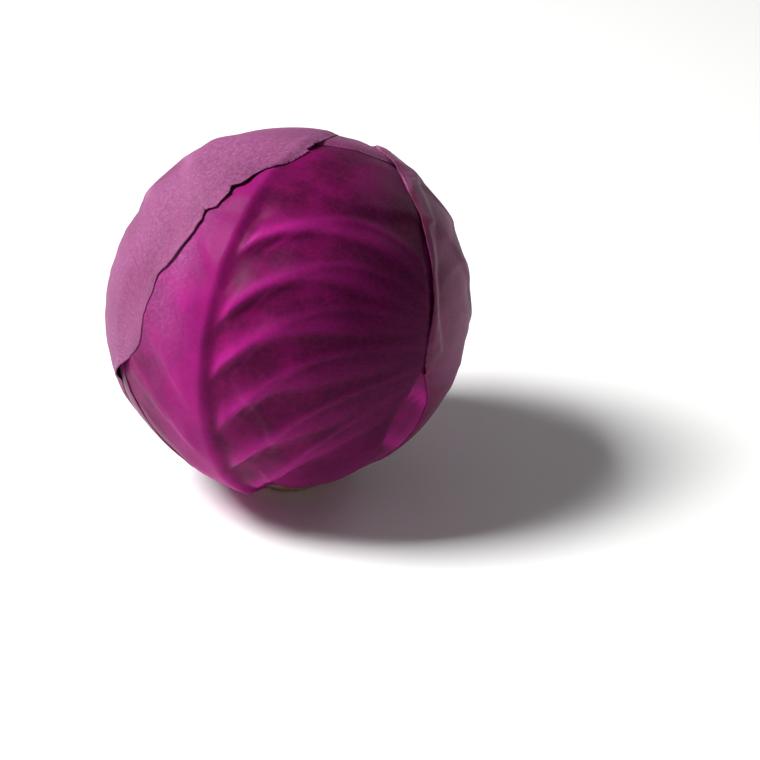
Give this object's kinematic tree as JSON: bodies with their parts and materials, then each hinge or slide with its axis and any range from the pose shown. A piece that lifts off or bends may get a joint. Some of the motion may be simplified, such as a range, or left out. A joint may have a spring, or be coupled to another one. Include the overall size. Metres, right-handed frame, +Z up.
{
  "type": "red cabbage",
  "caption": "Whole red cabbage: a round head of purple leaves with pale ribs, wrapped over one another from a cut stalk that it stands on.",
  "frame": {"origin": "middle of the stalk's flat cut face, at the bottom of the head", "axes": "+Z up through the stalk to the crown; -Y is the front, the side where the front leaf shows its rib; +X is to the right of that side"},
  "size_m": [0.1506, 0.1495, 0.153],
  "materials": {
    "fresh_leaf": "smooth waxy leaf, purple to magenta, with a satin shine",
    "bloomed_leaf": "purple leaf with a matte bluish-white waxy bloom",
    "inner_leaf": "smooth purple leaf, satin",
    "stalk": "cream cut flesh, matte and a little fibrous"
  },
  "bodies": {
    "root": {"under_leaf_back": "fresh_leaf", "under_leaf_right": "fresh_leaf", "front_leaf": "fresh_leaf", "lower_left_leaf": "bloomed_leaf", "back_leaf": "bloomed_leaf", "right_leaf": "bloomed_leaf", "top_leaf": "bloomed_leaf", "inner_leaf_1": "inner_leaf", "inner_leaf_2": "inner_leaf", "inner_leaf_3": "inner_leaf", "inner_leaf_4": "inner_leaf", "inner_leaf_5": "inner_leaf", "inner_leaf_6": "inner_leaf", "inner_leaf_7": "inner_leaf", "inner_leaf_8": "inner_leaf", "heart_bud": "inner_leaf", "stalk": "stalk"}
  },
  "joints": []
}
